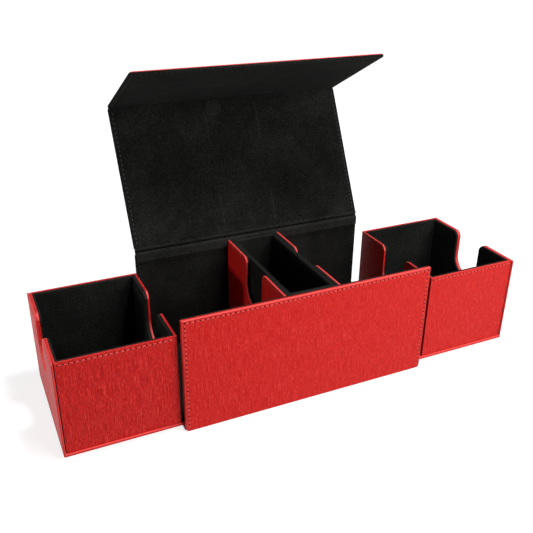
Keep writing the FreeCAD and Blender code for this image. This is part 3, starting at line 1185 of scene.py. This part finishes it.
# %% Drawer tray
tray_round = 0.55 * MM
tray_corner = {"left": 1.8 * MM, "right": 0.9 * MM}
tray_hide = {"left": raking_lit_leather, "right": leather}


def drawer_tray(hand, outward):
    """The leather walls of the tray, stitched along their tops."""
    body = hand + "_drawer"
    low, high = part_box(body + "_tray_cover")
    end = high.x if outward > 0 else low.x
    sheets = [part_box(body + "_" + place + "_lining") for place in ("front", "back", "inner_end", "outer_end")]
    hollow_low = Vector(min(sheet[0][axis] for sheet in sheets) for axis in range(3))
    hollow_high = Vector(max(sheet[1][axis] for sheet in sheets) for axis in range(3))
    tray = block(body + "_tray_leather", low, high)
    round_over(tray, through(0, end, 2), tray_corner[hand], corner_steps)
    carve(tray, block("hollow", (*hollow_low.xy, low.z - spare), (*hollow_high.xy, high.z + spare)))
    cut_notch(tray, low.x, high.x, high.z)
    soften(tray, tray_round)
    z = high.z - stitch_drop
    rows = {}
    for place, y, facing in (("front", low.y, FRONT), ("back", high.y, BACK)):
        rows[place] = (facing, [((low.x + stitch_inset, y, z), (high.x - stitch_inset, y, z))])
        channel(tray, *rows[place])
    press_board(tray, *[body + "_" + place + "_wall_board" for place in ("front", "back", "inner", "outer")])
    dress(tray, body, tray_hide[hand], [body + "_tray_cover"])
    for place, (facing, row) in rows.items():
        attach(seam(body + "_" + place + "_stitching", red_stitch, facing, row), body)


print("tray corners in mm:", {hand: round(size / MM, 1) for hand, size in tray_corner.items()})

# %% Drawer linings
liner_round = 0.5 * MM


def drawer_linings(hand):
    """The five suede sheets inside the tray."""
    body = hand + "_drawer"
    for place in ("front", "back", "floor"):
        lining(body + "_" + place + "_suede", body + "_" + place + "_lining", body, liner_round)
    for place in ("inner_end", "outer_end"):
        notched_lining(body + "_" + place + "_suede", body + "_" + place + "_lining", body, drawer_top,
                       liner_round)


for hand, outward in (("left", -1), ("right", 1)):
    drawer_shell(hand, outward)
    shade_sheet(hand, outward)
    drawer_tray(hand, outward)
    drawer_linings(hand)

# %% [markdown]
# ## The dice tray
# A deep box in suede that lifts out of the middle. The wrap turns over the boards' rim, and a second
# sheet lines the inside. Each could be cut out with another block, but an inset from above that is
# extruded down keeps the mesh simple. A fine groove runs along the rim.

# %% Dice tray
dice_lining = 0.7 * MM
rim_round = 0.6 * MM
groove_inset = 1.4 * MM
groove_width = 0.7 * MM
groove_depth = 0.5 * MM


def open_box(name, low, high, wall, floor):
    """A block hollowed out from above."""
    piece = block(name, low, high)
    select(piece, "FACE", lambda face: lies_on(face, 2, high.z))
    bpy.ops.mesh.inset(thickness=wall)
    bpy.ops.mesh.extrude_region_move(TRANSFORM_OT_translate={"value": (0, 0, low.z + floor - high.z)})
    put_down()
    return piece


wrap_low, wrap_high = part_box("dice_tray_wrap")
lining_low, lining_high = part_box("dice_tray_lining")


def rim_block(name, inset, low, high):
    """A block that stands in from the wrap's sides, between two heights."""
    return block(name, (wrap_low.x + inset, wrap_low.y + inset, low),
                 (wrap_high.x - inset, wrap_high.y - inset, high))


wrap = open_box("dice_tray_suede", wrap_low, wrap_high, lining_low.x - wrap_low.x, lining_low.z - wrap_low.z)
soften(wrap, rim_round)
groove_low = wrap_high.z - groove_depth
groove_high = wrap_high.z + spare
groove = rim_block("rim_groove", groove_inset, groove_low, groove_high)
carve(groove, rim_block("groove_core", groove_inset + groove_width, groove_low - spare, groove_high + spare))
carve(wrap, groove)
press_board(wrap, "dice_tray_boards")
dress(wrap, "dice_tray", suede, ["dice_tray_wrap"])

inside = open_box("dice_tray_inside_suede", lining_low, lining_high, dice_lining, dice_lining)
dress(inside, "dice_tray", suede, ["dice_tray_lining"])

for stitch in (red_stitch, black_stitch):
    bpy.data.objects.remove(stitch)

# %% [markdown]
# ## The studio
# A pale floor, a white world and three lamps: a broad bright one at the right front, which shades the
# front from right to left, a small low one at the left for the drawer's end, and a smaller one above for
# the rims. More light would whiten the background, but it would bleach the leather too. So the floor and
# the world glow white only where the eye or a gloss sees them, and the lamps stay at a plain level, at
# which the leather renders about as it is written.

# %% Floor
near_glow = 0.8
far_glow = 1.0
glow_reach = (0.2, 0.7)
floor_grey = (0.4, 0.4, 0.4, 1)
white = (1, 1, 1, 1)
put_down()
bpy.ops.mesh.primitive_plane_add(size=8)
floor = bpy.context.object
floor.name = "floor"


def seen_rays(tree):
    """A factor of 1 for rays that the eye, a gloss or a glass sees."""
    path = add(tree, "LightPath").outputs
    seen = reckon(tree, "MAXIMUM", path["Is Camera Ray"], path["Is Glossy Ray"])
    return reckon(tree, "MAXIMUM", seen, path["Is Transmission Ray"])


floor_paint, floor_tree, floor_surface = new_finish("floor_paint")
floor_surface.inputs["Base Color"].default_value = floor_grey
floor_surface.inputs["Roughness"].default_value = 0.9
floor_surface.inputs["Specular IOR Level"].default_value = 0.1
floor_surface.inputs["Emission Color"].default_value = white
floor_place = add(floor_tree, "TexCoord").outputs["Object"]
from_middle = add(floor_tree, "VectorMath", {0: floor_place}, operation="LENGTH").outputs["Value"]
glow = stretch(floor_tree, *glow_reach, from_middle, near_glow, far_glow)
seen_glow = reckon(floor_tree, "MULTIPLY", seen_rays(floor_tree), glow)
floor_tree.links.new(seen_glow, floor_surface.inputs["Emission Strength"])
floor.data.materials.append(floor_paint)
print("floor glows from", near_glow, "to", far_glow)

# %% World and lamps
sky_light = 0.01
world = bpy.data.worlds.new("studio")
bpy.context.scene.world = world
world.use_nodes = True
sky = world.node_tree
sky_strength = stretch(sky, 0, 1, seen_rays(sky), sky_light, 1.0)
sky.links.new(sky_strength, sky.nodes["Background"].inputs["Strength"])
sky.nodes["Background"].inputs["Color"].default_value = white


def lamp(name, place, aim, size, power):
    """A square soft lamp that looks at a point."""
    data = bpy.data.lights.new(name, "AREA")
    data.size = size
    data.energy = power
    lamp_object = bpy.data.objects.new(name, data)
    bpy.context.scene.collection.objects.link(lamp_object)
    lamp_object.location = place
    lamp_object.rotation_euler = (Vector(aim) - Vector(place)).to_track_quat("-Z", "Y").to_euler()
    print(name, "watts:", power)


lamp("key_lamp", (0.35, -0.74, 0.52), (0, 0, 0.05), 0.5, 7.8)
lamp("side_lamp", (-0.7, -0.02, 0.165), (-0.05, 0, 0.08), 0.05, 0.95)
lamp("top_lamp", (0.12, -0.15, 0.97), (0, 0, 0.05), 0.15, 6.5)
bpy.context.scene.view_settings.view_transform = "Standard"
